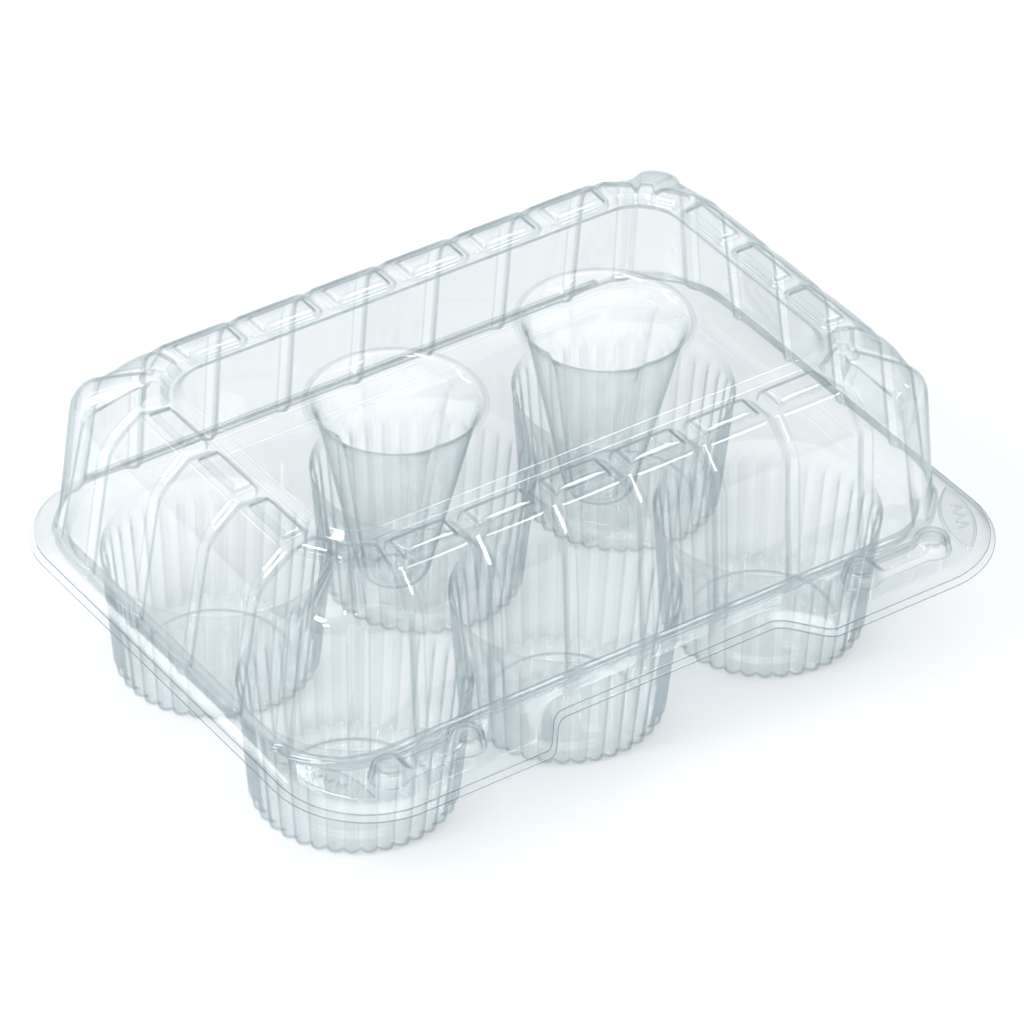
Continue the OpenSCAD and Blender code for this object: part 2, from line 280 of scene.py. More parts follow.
station_bay = np.repeat(np.arange(BAYS), PER_BAY) % HALF_TURN
in_corner = np.isin(station_bay, CORNER_BAYS)
on_diagonal = np.isin(station_bay, DIAGONAL_BAYS)
from_groove = np.tile(
    np.concatenate([NEAR, np.full(len(SHARES), BAY_W / 2), NEAR[:0:-1]]), BAYS)
groove_share = 1 - smooth(from_groove / GROOVE_REACH)

# Millimetres from a groove where a stacking pad's foot, knee and flat top start.
PAD_STARTS = [3.5, 3.8, 5.0]
CORNER_PAD_STARTS = [1.4, 2.0, 3.5]


def softened(values):
    """Evens a stepped value out over about half a bay to each side."""
    reach = PER_BAY // 2
    window = np.hanning(2 * reach + 1)
    padded = np.concatenate([values[-reach:], values, values[:reach]])
    return np.convolve(padded, window / window.sum(), mode="valid")


def bay_stations(level, grooved=True):
    """One ring of the wall in plan, with a rounded V at each groove."""
    marks = wall_marks(level)
    rows, along_bay = [], []
    for left, right in zip(marks, np.roll(marks, -1, axis=0)):
        length = np.linalg.norm(right - left)
        near = NEAR * min(1.0, length / FULL_BAY) / length
        w = np.concatenate([near, SHARES, 1 - near[:0:-1]])
        rows.append(left + (right - left) * w[:, None])
        along_bay.append(w)
    ring = np.concatenate(rows)
    kind = STAND_OUT[level]
    out_by = np.where(in_corner[:, None], kind["beside"], kind["bay"])
    valley, flat, swell = np.where(on_diagonal[:, None], kind["diagonal"], out_by).T
    valley, flat = softened(valley), softened(flat)
    out = flat + swell * np.sin(np.pi * np.concatenate(along_bay)) ** 0.7
    if grooved:
        out = out + (valley - out) * groove_share
    return ring + outward(ring) * out[:, None]


def pad_height(limit, whole_corner=True):
    """Height of a stacking pad: a steep foot, a chamfer and a flat top, never above a limit.

    A corner's pad is one piece along its inner side.
    """
    heights = [0.0, PAD_KNEE, PAD_HEIGHT]
    height = np.interp(from_groove, PAD_STARTS, heights)
    corner = np.interp(from_groove, CORNER_PAD_STARTS, heights)
    height = np.where(in_corner, corner, height)
    if whole_corner:
        height = np.where(inside_corner, PAD_HEIGHT, height)
    return np.minimum(height, limit)


def near_marks(marked):
    """Stations within a few places of a marked one."""
    near = marked.copy()
    for k in range(1, len(NEAR)):
        near |= np.roll(marked, k) | np.roll(marked, -k)
    return near


# Stations around the two grooves that lie inside each corner.
starts_corner = np.isin(station_bay, FIRST_CORNER_BAYS)
inside_corner = in_corner & near_marks((from_groove == 0) & in_corner & ~starts_corner)


def rim_stations():
    """The point of the rim's outline that belongs to each station of the wall."""
    foot = bay_stations("foot", grooved=False)
    rim = np.zeros_like(foot)
    corners = {}
    for bay in range(BAYS):
        rows = np.arange(bay * PER_BAY, (bay + 1) * PER_BAY)
        p = foot[rows]
        x, y = p.mean(axis=0) - [0, LID_LINE_Y]
        if abs(y) < SIDE_HALF:
            side_x = np.full(PER_BAY, np.sign(x) * RIM_HALF_X)
            rim[rows] = np.column_stack([side_x, p[:, 1]])
        elif abs(x) < LONG_HALF:
            edge_y = front_edge_y(p[:, 0]) if y < 0 else np.full(PER_BAY, REAR_Y)
            rim[rows] = np.column_stack([p[:, 0], edge_y])
        else:
            corners.setdefault((np.sign(x), np.sign(y)), []).append(rows)
    for (right, top), bays in corners.items():
        fill_corner(rim, foot, np.concatenate(bays), right, top)
    return rim


def fill_corner(rim, foot, rows, right, top):
    """Spreads a corner's stations along the rim by their share of the wall's own length."""
    path = foot[np.append(rows, (rows[-1] + 1) % len(foot))]
    run = length_so_far(path)
    share = run[:-1] / run[-1]
    if right * top < 0:
        share = 1 - share
    y_side = LID_LINE_Y + top * SIDE_HALF
    y_long = -EAR_Y if top < 0 else REAR_Y
    curve = rim_corner(front=top < 0)[::-1]
    curve = np.vstack([[RIM_HALF_X, y_side], curve, [LONG_HALF, y_long]])
    rim[rows] = along(curve, share) * [right, 1]


# ---------- mesh building ----------


def inside(point, loop):
    """Whether a point lies inside a closed loop, in plan, by counting crossings."""
    a, b = loop, np.roll(loop, -1, axis=0)
    crossing = (a[:, 1] > point[1]) != (b[:, 1] > point[1])
    a, b = a[crossing], b[crossing]
    at_x = a[:, 0] + (point[1] - a[:, 1]) / (b[:, 1] - a[:, 1]) * (b[:, 0] - a[:, 0])
    return np.count_nonzero(at_x > point[0]) % 2 == 1


# A face this narrow counts as part of a bend, from a faint turn up to a sharp one; the material paints shade onto
# such faces.
BEND_FACE_WIDTH = 1.15
FAINT_BEND = math.radians(7.0)
SHARP_BEND = math.radians(22.0)


def face_bend(face):
    """0 on a flat or wide face, up to 1 on a narrow one that turns from both its neighbours."""
    if len(face.edges) != 4:
        return 0.0
    length = [loop.edge.calc_length() for loop in face.loops]
    turn = [loop.edge.calc_face_angle(0.0) for loop in face.loops]
    bend = 0.0
    for a, b in ((0, 1), (1, 0)):
        width = (length[b] + length[b + 2]) / 2
        if width < BEND_FACE_WIDTH * MM:
            bend = max(bend, min(turn[a], turn[a + 2]))
    return min(1.0, max(0.0, (bend - FAINT_BEND) / (SHARP_BEND - FAINT_BEND)))


def mark_bends(mesh):
    """Stores each face's bend, onto which the material paints shade, standing in for the dark lines that light
    bent through clear sheet shows at a bend.
    """
    work = bmesh.new()
    work.from_mesh(mesh)
    values = [face_bend(face) for face in work.faces]
    work.free()
    mesh.attributes.new("bend", "FLOAT", "FACE").data.foreach_set("value", values)


# What delaunay_2d_cdt returns, and how close two points count as one, in millimetres.
INSIDE_TRIANGLES = 1
SAME_POINT = 1e-7


class Sheet:
    """A surface made of rings; each ring is an array of vertex numbers."""

    def __init__(self):
        self.points, self.faces = [], []

    def ring(self, points):
        """Adds a ring's points and returns their vertex numbers."""
        start = len(self.points)
        self.points.extend(map(tuple, points))
        return np.arange(start, start + len(points))

    def join(self, a, b):
        """Four-sided faces between two rings of the same length."""
        a2, b2 = np.roll(a, -1), np.roll(b, -1)
        self.faces.extend(map(tuple, np.stack([a, a2, b2, b], axis=1).tolist()))

    def rings(self, list_of_rings):
        """Joins rings in turn and returns the vertex numbers of the first and the last."""
        numbers = [self.ring(r) for r in list_of_rings]
        for a, b in zip(numbers, numbers[1:]):
            self.join(a, b)
        return numbers[0], numbers[-1]

    def close(self, ring, centre):
        """Closes a ring with triangles to a point."""
        middle = int(self.ring([centre])[0])
        nxt = np.roll(ring, -1)
        self.faces.extend((int(a), int(b), middle) for a, b in zip(ring, nxt))

    def fill(self, outer, holes=()):
        """Flat fill between an outer ring and holes of any shape."""
        loops = [outer] + list(holes)
        numbers = np.concatenate(loops)
        flat = [Vector(self.points[i][:2]) for i in numbers]
        edges, start = [], 0
        for loop in loops:
            n = len(loop)
            edges += [(start + i, start + (i + 1) % n) for i in range(n)]
            start += n
        shapes = [np.array([self.points[i][:2] for i in hole]) for hole in holes]
        verts, _, tris, *_ = delaunay_2d_cdt(flat, edges, [], INSIDE_TRIANGLES, SAME_POINT)
        assert len(verts) == len(flat), "the outlines cross each other"
        for tri in tris:
            middle = np.mean([flat[i] for i in tri], axis=0)
            if any(inside(middle, shape) for shape in shapes):
                continue
            self.faces.append(tuple(int(numbers[i]) for i in tri))

    def cut_strip(self, z, x_low, x_high):
        """Cuts a window in the flange's front, at height z, and returns its outline."""

        def in_window(face):
            corners = [self.points[i] for i in face]
            flat = all(abs(p[2] - z) < 1e-6 and p[1] < 0 for p in corners)
            within = all(x_low < p[0] < x_high for p in corners[:2])
            return len(face) == 4 and flat and within

        strip = [f for f in self.faces if in_window(f)]
        taken = set(strip)
        self.faces = [f for f in self.faces if f not in taken]
        front = [f[0] for f in strip] + [strip[-1][1]]
        back = [f[3] for f in strip] + [strip[-1][2]]
        return np.array(front + back[::-1])

    def across(self, ring):
        """Fills a narrow ring that is mirrored about its long axis, strip by strip."""
        n = len(ring)
        self.faces.append((int(ring[0]), int(ring[1]), int(ring[n - 1])))
        for i in range(1, n // 2 - 1):
            self.faces.append(tuple(int(ring[k]) for k in (i, i + 1, n - i - 1, n - i)))
        i = n // 2
        self.faces.append((int(ring[i - 1]), int(ring[i]), int(ring[i + 1])))

    def make(self, name, thickness=SHEET):
        """The piece, with the sheet's thickness added inwards from its outer face."""
        mesh = bpy.data.meshes.new(name)
        mesh.from_pydata([Vector(p) * MM for p in self.points], [], self.faces)
        mesh.update()
        mark_bends(mesh)
        piece = bpy.data.objects.new(name, mesh)
        bpy.context.scene.collection.objects.link(piece)
        mesh.shade_smooth()
        if thickness:
            solid = piece.modifiers.new("thickness", "SOLIDIFY")
            solid.thickness = thickness * MM
            solid.offset = -1
            solid.use_even_offset = False
        weighted = piece.modifiers.new("normals", "WEIGHTED_NORMAL")
        weighted.keep_sharp = False
        weighted.weight = 80
        return piece


FILLET_SHARE = 0.49


def fillet_segments(radius):
    """A wider bend gets more faces."""
    if radius < 0.55:
        return 1
    if radius < 1.1:
        return 2
    return 3 if radius < 2.5 else 5


def filleted(controls):
    """Rings through control rings with each corner rounded. A control is (ring, radius)."""
    out = [controls[0][0]]
    for k in range(1, len(controls) - 1):
        ring, radius = controls[k]
        before, after = controls[k - 1][0], controls[k + 1][0]
        to_before, to_after = before - ring, after - ring
        shorter = np.minimum(
            np.linalg.norm(to_before, axis=1), np.linalg.norm(to_after, axis=1))
        r = np.minimum(radius, shorter * FILLET_SHARE)[:, None]
        a, b = ring + unit(to_before) * r, ring + unit(to_after) * r
        for t in np.linspace(0, 1, fillet_segments(np.max(radius)) + 1):
            out.append((1 - t) ** 2 * a + 2 * t * (1 - t) * ring + t * t * b)
    out.append(controls[-1][0])
    return out


# ---------- rims ----------

SKIRT_START = 3.0
SKIRT_BLEND = 12.0
PAST_S_CURVE = 9.0


def skirt_share(rim):
    """1 where the rim has its full skirt, 0 along the hinge."""
    return smooth((REAR_Y - SKIRT_START - rim[:, 1]) / SKIRT_BLEND)


def rim_ring(rim, top, full_inset, full_drop, rear_inset=0.0, rear_drop=0.0):
    """A ring inside the rim's outline and below its flange, with its own values at the hinge.

    Near the S-curves it moves partly straight back, so that it doesn't cross itself.
    """
    k = skirt_share(rim)
    way = outward(rim)
    curved = (np.abs(rim[:, 0]) < EAR_START_X + PAST_S_CURVE) & (rim[:, 1] < 0)
    way = np.where(curved[:, None], unit(way + [0, -1]), way)
    plan = rim - way * (full_inset * k + (HINGE_CLEAR + rear_inset) * (1 - k))[:, None]
    return np.column_stack([plan, top - full_drop * k - rear_drop * (1 - k)])


# ---------- lid ----------


def lid_profile():
    """Control rings of the lid from the skirt's lip up to the top panel, with their radii."""
    rim = rim_stations()
    foot = bay_stations("foot")
    plain_foot = bay_stations("foot", grooved=False)
    bend, top = bay_stations("bend"), bay_stations("top")
    plain_top = bay_stations("top", grooved=False)
    panel = onto_rounded(plain_top, PANEL_HALF, PANEL_CORNER_R, LID_LINE_Y)
    edge_half, edge_r = PANEL_HALF + PANEL_EDGE_W, PANEL_CORNER_R + PANEL_EDGE_W
    panel_foot = onto_rounded(plain_top, edge_half, edge_r, LID_LINE_Y)
    flat_half, flat_r = PANEL_HALF - PANEL_FLAT_IN, PANEL_CORNER_R - PANEL_FLAT_IN
    lip_drop = LID_FLANGE_Z - LID_LIP_Z - SHEET
    plinth_z = LID_FLANGE_Z + PLINTH_H
    plinth = plain_foot + outward(plain_foot) * (PLINTH_OUT - PLINTH_DIP * groove_share)[:, None]
    bend_z = BEND_Z + DIAGONAL_RISE * softened(on_diagonal.astype(float))
    shoulder_r = SHOULDER_R - GROOVE_SHARPER_BY * groove_share

    # The ledge's terrace has round corners: its edge draws back towards each groove.
    back = np.clip(1 - from_groove / TERRACE_CORNER, 0, 1)
    edge = TERRACE_SHARE * (1 - 0.5 * (1 - np.sqrt(1 - back ** 2)))
    edge = np.where(inside_corner, TERRACE_SHARE, edge)

    def ledge(share, height=0.0, whole_corner=True):
        """A ring at a share of the way in to the panel's foot, with pads up to a height."""
        at = share * edge / TERRACE_SHARE
        plan = top + (panel_foot - top) * at[:, None]
        fades = np.where(inside_corner, 1 - smooth(share / 0.5), 1)
        valley = CHANNEL_DROP * groove_share * fades
        return raised(plan, LEDGE_Z - valley + pad_height(height, whole_corner))

    def channel(at):
        """A ring in the channel between the terrace and the panel."""
        return raised(top + (panel_foot - top) * at[:, None], LEDGE_Z - CHANNEL_DROP)

    return [
        (rim_ring(rim, LID_FLANGE_Z, 1.5, lip_drop, 0.0, 0.25), 0.0),
        (rim_ring(rim, LID_FLANGE_Z, 1.7, lip_drop - 0.13, 0.02, 0.25), 0.05),
        (rim_ring(rim, LID_FLANGE_Z, 2.8, 0.8, 0.1, 0.15), 0.4),
        (rim_ring(rim, LID_FLANGE_Z, 4.7, 0.0, 0.5, 0.0), 1.2),
        (raised(inset(plinth, -0.5), LID_FLANGE_Z), 0.4),
        (raised(plinth, plinth_z), 0.5),
        (raised(foot, plinth_z), 0.9),
        (raised(bend, bend_z), shoulder_r),
        (raised(top, LEDGE_Z - CHANNEL_DROP * groove_share), 1.4),
        (ledge(0.20, whole_corner=False), 0.3),
        (ledge(0.22, PAD_KNEE, whole_corner=False), 0.2),
        (ledge(0.30, PAD_HEIGHT), 0.2),
        (ledge(0.68, PAD_HEIGHT), 0.2),
        (ledge(0.76, PAD_KNEE), 0.2),
        (ledge(0.79), 0.3),
        (ledge(TERRACE_SHARE), 0.4),
        (channel(edge + 0.04), 0.4),
        (raised(panel_foot, LEDGE_Z - CHANNEL_DROP), 0.6),
        (raised(panel, TOP_Z), 0.9),
        (raised(onto_rounded(plain_top, flat_half, flat_r, LID_LINE_Y), TOP_Z), 0.0),
    ]


def post_rings(side):
    """Control rings of a hollow post with four lobes, and the middle of its foot."""
    low, high = box_mm("left_post" if side < 0 else "right_post")
    centre = ((low + high) / 2)[:2]
    mouth_r = (high - low)[0] / 2
    foot_z = low[2] + SHEET
    a = np.linspace(0, 2 * np.pi, POST_STATIONS, endpoint=False)
    from_diagonal = (a % (np.pi / 2)) - np.pi / 4

    def ring(radius, z, spread=0.0):
        """Four overlapping circles set out along the diagonals, or one circle without spread."""
        lobe_r = radius - spread
        r = spread * np.cos(from_diagonal) + np.sqrt(
            lobe_r ** 2 - (spread * np.sin(from_diagonal)) ** 2)
        return about(centre, a, r, z)

    return [
        (ring(mouth_r + 2.2, TOP_Z), 0.0),
        (ring(mouth_r + 1.7, TOP_Z), 0.3),
        (ring(mouth_r + 1.2, TOP_Z + 0.3), 0.3),
        (ring(mouth_r + 0.3, TOP_Z + 0.3), 0.4),
        (ring(mouth_r - 0.9, TOP_Z - 0.9, 4.0), 0.7),
        (ring(mouth_r - 2.2, TOP_Z - 4.2, 8.6), 2.2),
        (ring(mouth_r - 3.6, TOP_Z - 10.0, 9.0), 1.0),
        (ring(10.4, foot_z + 2.0, 2.0), 1.0),
        (ring(9.4, foot_z), 0.9),
        (ring(6.5, foot_z), 0.5),
        (ring(5.6, foot_z + POST_FOOT_RISE), 0.4),
        (ring(3.0, foot_z + POST_FOOT_RISE), 0.0),
    ], (centre[0], centre[1], foot_z + POST_FOOT_RISE)


def snap_outline(node, grow):
    """Two round ends joined by a narrower bar, mirrored about its long axis."""
    low, high = box_mm(node)
    end_r = (high - low)[1] / 2 - SHEET + grow
    waist = end_r - SNAP_WAIST_IN
    t = np.linspace(0, 2 * np.pi, SNAP_STATIONS, endpoint=False)
    x = (SNAP_END_AT + end_r) * np.cos(t)
    past = np.abs(x) - SNAP_END_AT
    joined = past < -math.sqrt(end_r ** 2 - waist ** 2)
    round_y = np.sqrt(np.maximum(end_r ** 2 - past ** 2, 0))
    y = np.where(joined, waist, round_y) * np.sign(np.round(np.sin(t), 9))
    return np.column_stack([x, y]) + ((low + high) / 2)[:2]


def add_snap(sheet, node, flange_z):
    """A raised snap with two high ends and a lower bar, formed out of a flat flange."""
    middle = np.mean(snap_outline(node, 0.0)[:, 0])

    def ring(grow, z, drop):
        outline = snap_outline(node, grow)
        from_middle = np.abs(outline[:, 0] - middle)
        low_share = 1 - smooth((from_middle - SNAP_BAR_HALF) / SNAP_BAR_BLEND)
        return raised(outline, z - drop * low_share)

    reach = SNAP_END_AT + SNAP_WINDOW_PAST_END
    opening = sheet.cut_strip(flange_z, middle - reach, middle + reach)
    top = flange_z + SNAP_H
    foot, crown = sheet.rings(filleted([
        (ring(0.9, flange_z, 0.0), 0.0),
        (ring(0.4, flange_z, 0.0), 0.4),
        (ring(-0.3, top, SNAP_BAR_DROP), 0.7),
        (ring(-1.6, top, SNAP_BAR_DROP), 0.4),
        (ring(-2.1, top - 0.3, 1.3), 0.0),
    ]))
    sheet.across(crown)
    sheet.fill(opening, [foot])


def thumb_frame(side):
    """Centre of a thumb pad and the turn of its short axis towards the corner."""
    low, high = box_mm("left_thumb_pad" if side < 0 else "right_thumb_pad")
    turn = math.radians(-THUMB_TURN if side > 0 else 180 + THUMB_TURN)
    return ((low + high) / 2)[:2], turn


def placed(points, side):
    """Points about a thumb pad's centre, turned and moved to their place."""
    centre, turn = thumb_frame(side)
    c, s = math.cos(turn), math.sin(turn)
    return points @ np.array([[c, s], [-s, c]]) + centre


def lens_outline(grow):
    """Outline of a thumb pad about its own centre."""
    back = THUMB_R - THUMB_HALF_W
    reach = math.degrees(math.acos(back / (THUMB_R + grow)))
    right = arc((-back, 0), THUMB_R + grow, -reach, reach, 24)[:-1]
    return np.concatenate([right, -right])


def chevron_outline(k, grow):
    """A chevron that points to the corner, with its edges cut in short steps."""
    corners = np.array([(-1, -1.5), (0.4, -1.5), (2.4, 0), (0.4, 1.5), (-1, 1.5), (1, 0)])
    steps = [corners + (np.roll(corners, -1, axis=0) - corners) * t for t in (0, 0.34, 0.67)]
    ring = np.stack(steps, axis=1).reshape(-1, 2)
    return inset(ring, -grow) + [0, CHEVRON_PITCH * k]


def add_thumb_pad(sheet, side):
    """A low lens-shaped pad with three raised chevrons, laid on the flange."""
    top = LID_FLANGE_Z + THUMB_H
    _, crown = sheet.rings(filleted([
        (raised(placed(lens_outline(0.2), side), LID_FLANGE_Z), 0.0),
        (raised(placed(lens_outline(-0.5), side), top), 0.3),
        (raised(placed(lens_outline(-1.2), side), top), 0.0),
    ]))
    marks = []
    for k in (-1, 0, 1):
        base, cap = sheet.rings([
            raised(placed(chevron_outline(k, 0.15), side), top),
            raised(placed(chevron_outline(k, -0.15), side), top + CHEVRON_H),
        ])
        sheet.fill(cap)
        marks.append(base)
    sheet.fill(crown, marks)


def make_lid():
    """Rim, wall, ledge and top panel in one sheet, with snaps, thumb pads and posts."""
    sheet = Sheet()
    _, inner = sheet.rings(filleted(lid_profile()))
    for side, name in ((-1, "left_snap_socket"), (1, "right_snap_socket")):
        add_snap(sheet, name, LID_FLANGE_Z)
        add_thumb_pad(sheet, side)
    mouths = []
    for side in (-1, 1):
        controls, foot_centre = post_rings(side)
        mouth, foot = sheet.rings(filleted(controls))
        sheet.close(foot, foot_centre)
        mouths.append(mouth)
    sheet.fill(inner, mouths)
    return sheet.make("lid_shell")


# ---------- tray ----------


def tray_profile():
    """Control rings of the tray from the skirt's lip to its web, with their radii."""
    rim = rim_stations()
    lip_drop = TRAY_FLANGE_Z - TRAY_LIP_Z - SHEET
    half = (web_high - web_low)[:2] / 2
    low = onto_rounded(rim, half, WEB_CORNER_R, CUP_LINE_Y)
    high = onto_rounded(rim, half + STEP_FLARE, WEB_CORNER_R + STEP_FLARE, CUP_LINE_Y)
    inner = onto_rounded(rim, half - WEB_EDGE, WEB_CORNER_R - WEB_EDGE, CUP_LINE_Y)
    return [
        (rim_ring(rim, TRAY_FLANGE_Z, 0.0, lip_drop, 0.0, 0.25), 0.0),
        (rim_ring(rim, TRAY_FLANGE_Z, 0.2, lip_drop - 0.13, 0.02, 0.25), 0.05),
        (rim_ring(rim, TRAY_FLANGE_Z, 2.75, 0.8, 0.1, 0.15), 0.5),
        (rim_ring(rim, TRAY_FLANGE_Z, 5.6, 0.0, 0.4, 0.0), 1.4),
        (raised(high, TRAY_FLANGE_Z), 1.0),
        (raised(low, DECK_Z), 1.0),
        (raised(inner, DECK_Z), 0.0),
    ]


def cup_rings(node):
    """Control rings of a fluted cup, from the web down, and the middle of its floor."""
    low, high = box_mm(node)
    centre = ((low + high) / 2)[:2]
    mouth_r = (high - low)[0] / 2 - SHEET
    floor_r = CUP_FLOOR_R - SHEET
    a = np.linspace(0, 2 * np.pi, FLUTES * STATIONS_PER_FLUTE, endpoint=False)
    scallop = 1 - np.abs(np.sin(FLUTES / 2 * a))

    def ring(radius, depth, z):
        """A circle with flutes cut in to a depth."""
        return about(centre, a, radius - depth * scallop, z)

    def side_r(z):
        """Radius of the cup's tapered side at a height."""
        return floor_r + (mouth_r - floor_r) * z / DECK_Z

    raised_z = SHEET + CUP_FLOOR_RISE
    return [
        (ring(mouth_r + 0.9, 0, DECK_Z), 0.0),
        (ring(mouth_r, 0, DECK_Z), 0.8),
        (ring(side_r(DECK_Z - 4), 0, DECK_Z - 4), 0.5),
        (ring(side_r(DECK_Z - 7), FLUTE_DEPTH, DECK_Z - 7), 1.5),
        (ring(floor_r, FLUTE_DEPTH * 1.5, SHEET), 1.9),
        (ring(floor_r - 7.5, 0, SHEET), 0.8),
        (ring(floor_r - 9.0, 0, raised_z), 0.8),
        (ring(8.0, 0, raised_z), 0.0),
    ], (centre[0], centre[1], raised_z)


def make_tray():
    """Rim and web in one sheet, with the snaps' studs and six cups."""
    sheet = Sheet()
    _, inner = sheet.rings(filleted(tray_profile()))
    for name in ("left_snap_stud", "right_snap_stud"):
        add_snap(sheet, name, TRAY_FLANGE_Z)
    mouths = []
    for node in sorted(n for n in frame["nodes"] if n.endswith("_cup")):
        controls, floor_centre = cup_rings(node)
        mouth, floor = sheet.rings(filleted(controls))
        sheet.close(floor, floor_centre)
        mouths.append(mouth)
    sheet.fill(inner, mouths)
    return sheet.make("tray_shell")


# ---------- cut edges, coloured as painted shade ---

CUT_EDGE_STOPS_AT = 20.0
CUT_EDGE_THICKNESS = 0.05
CUT_EDGE_SECTION = ((0.02, -0.02), (0.08, 0.1), (0.08, 0.3), (0.02, SHEET + 0.02))


def make_cut_edge(name, lip):
    """A thin strip along the sheet's cut edge at a lip, clear of the hinge, coloured darker as painted shade for
    the line that light running out of the edge draws.
    """
    at = np.flatnonzero(lip[:, 1] < REAR_Y - CUT_EDGE_STOPS_AT)
    gap = np.flatnonzero(np.diff(at) > 1)
    if len(gap):
        at = np.roll(at, -gap[0] - 1)
    edge = lip[at]
    away = outward(lip[:, :2])[at]
    sheet = Sheet()
    lines = []
    for out, down in CUT_EDGE_SECTION:
        plan = edge[:, :2] + away * out
        lines.append(sheet.ring(np.column_stack([plan, edge[:, 2] - down])))
    for a, b in zip(lines, lines[1:]):
        for k in range(len(a) - 1):
            sheet.faces.append((int(b[k]), int(b[k + 1]), int(a[k + 1]), int(a[k])))
    return sheet.make(name, thickness=CUT_EDGE_THICKNESS)


# ---------- living hinge ----------

HINGE_HALF_LENGTH = 92.0
HINGE_STEPS = 40
HINGE_LAP = 0.6
HINGE_BEND_POINTS = 9
HINGE_BEND_IN = 0.2
HINGE_BULGE = 0.15
HINGE_THICKNESS = 0.25


def make_hinge():
    """A folded strip between the rear edges of tray and lid."""
    inner_y = REAR_Y - HINGE_CLEAR - HINGE_LAP
    low_z, high_z = TRAY_FLANGE_Z - SHEET / 2, LID_FLANGE_Z - SHEET / 2
    mid_z, r = (low_z + high_z) / 2, (high_z - low_z) / 2
    bend_y = REAR_Y - HINGE_BEND_IN
    turns = np.linspace(-math.pi / 2, math.pi / 2, HINGE_BEND_POINTS)
    bend = [(bend_y + (r + HINGE_BULGE) * math.cos(t), mid_z + r * math.sin(t)) for t in turns]
    section = [(inner_y, low_z)] + bend + [(inner_y, high_z)]
    n = len(section)
    sheet = Sheet()
    for x in np.linspace(-HINGE_HALF_LENGTH, HINGE_HALF_LENGTH, HINGE_STEPS + 1):
        sheet.ring([(x, y, z) for y, z in section])
    for i in range(HINGE_STEPS):
        for a in range(i * n, i * n + n - 1):
            sheet.faces.append((a, a + n, a + n + 1, a + 1))
    piece = sheet.make("living_hinge", thickness=0)
    solid = piece.modifiers.new("thickness", "SOLIDIFY")
    solid.thickness = HINGE_THICKNESS * MM
    solid.offset = 0
    return piece


# ---------- material ----------

PET_IOR = 1.575
SHEET_ROUGHNESS = 0.03
STEEPNESS = 3.0


def clear_sheet(name, tint, edge, painted_bend_shade):
    """Clear glossy sheet: see-through face on, mirroring, and darker where it turns away and at bends, as painted
    shade.

    tint is its colour face on, edge a darker colour painted in at a glancing angle as shade, and the last argument
    how much of the edge colour a sharp bend gets as painted shade.
    """
    mat = bpy.data.materials.new(name)
    mat.use_nodes = True
    nt = mat.node_tree
    nt.nodes.clear()
    out = nt.nodes.new("ShaderNodeOutputMaterial")
    see = nt.nodes.new("ShaderNodeBsdfTransparent")
    gloss = nt.nodes.new("ShaderNodeBsdfGlossy")
    gloss.inputs["Roughness"].default_value = SHEET_ROUGHNESS
    mix = nt.nodes.new("ShaderNodeMixShader")
    fresnel = nt.nodes.new("ShaderNodeFresnel")
    side = nt.nodes.new("ShaderNodeNewGeometry")
    ior = nt.nodes.new("ShaderNodeMapRange")
    ior.inputs["To Min"].default_value = PET_IOR
    ior.inputs["To Max"].default_value = 1 / PET_IOR
    nt.links.new(side.outputs["Backfacing"], ior.inputs["Value"])
    nt.links.new(ior.outputs["Result"], fresnel.inputs["IOR"])
    # Painted shade at glancing angles: both the see-through and the mirrored colour turn towards the darker edge
    # colour, in place of the dark edges that refraction draws in clear sheet.
    weight = nt.nodes.new("ShaderNodeLayerWeight")
    weight.inputs["Blend"].default_value = 0.5
    steep = nt.nodes.new("ShaderNodeMath")
    steep.operation = "POWER"
    steep.inputs[1].default_value = STEEPNESS
    nt.links.new(weight.outputs["Facing"], steep.inputs[0])
    painted_glancing_shade = nt.nodes.new("ShaderNodeMix")
    painted_glancing_shade.data_type = "RGBA"
    painted_glancing_shade.inputs["A"].default_value = (*tint, 1)
    painted_glancing_shade.inputs["B"].default_value = (*edge, 1)
    nt.links.new(steep.outputs["Value"], painted_glancing_shade.inputs["Factor"])
    # Painted shade on bends: the see-through colour is mixed towards the darker edge colour by the face's bend.
    bend = nt.nodes.new("ShaderNodeAttribute")
    bend.attribute_name = "bend"
    share = nt.nodes.new("ShaderNodeMath")
    share.operation = "MULTIPLY"
    share.inputs[1].default_value = painted_bend_shade
    nt.links.new(bend.outputs["Fac"], share.inputs[0])
    painted_bend_shade_mix = nt.nodes.new("ShaderNodeMix")
    painted_bend_shade_mix.data_type = "RGBA"
    painted_bend_shade_mix.inputs["B"].default_value = (*edge, 1)
    nt.links.new(painted_glancing_shade.outputs["Result"], painted_bend_shade_mix.inputs["A"])
    nt.links.new(share.outputs["Value"], painted_bend_shade_mix.inputs["Factor"])
    nt.links.new(painted_bend_shade_mix.outputs["Result"], see.inputs["Color"])
    nt.links.new(painted_glancing_shade.outputs["Result"], gloss.inputs["Color"])
    nt.links.new(fresnel.outputs["Fac"], mix.inputs["Fac"])
    nt.links.new(see.outputs["BSDF"], mix.inputs[1])
    nt.links.new(gloss.outputs["BSDF"], mix.inputs[2])
    nt.links.new(mix.outputs["Shader"], out.inputs["Surface"])
    return mat


# ---------- stage, light and camera ----------

FLOOR_HALF_M = 4.0
FLOOR_GREY = 0.95


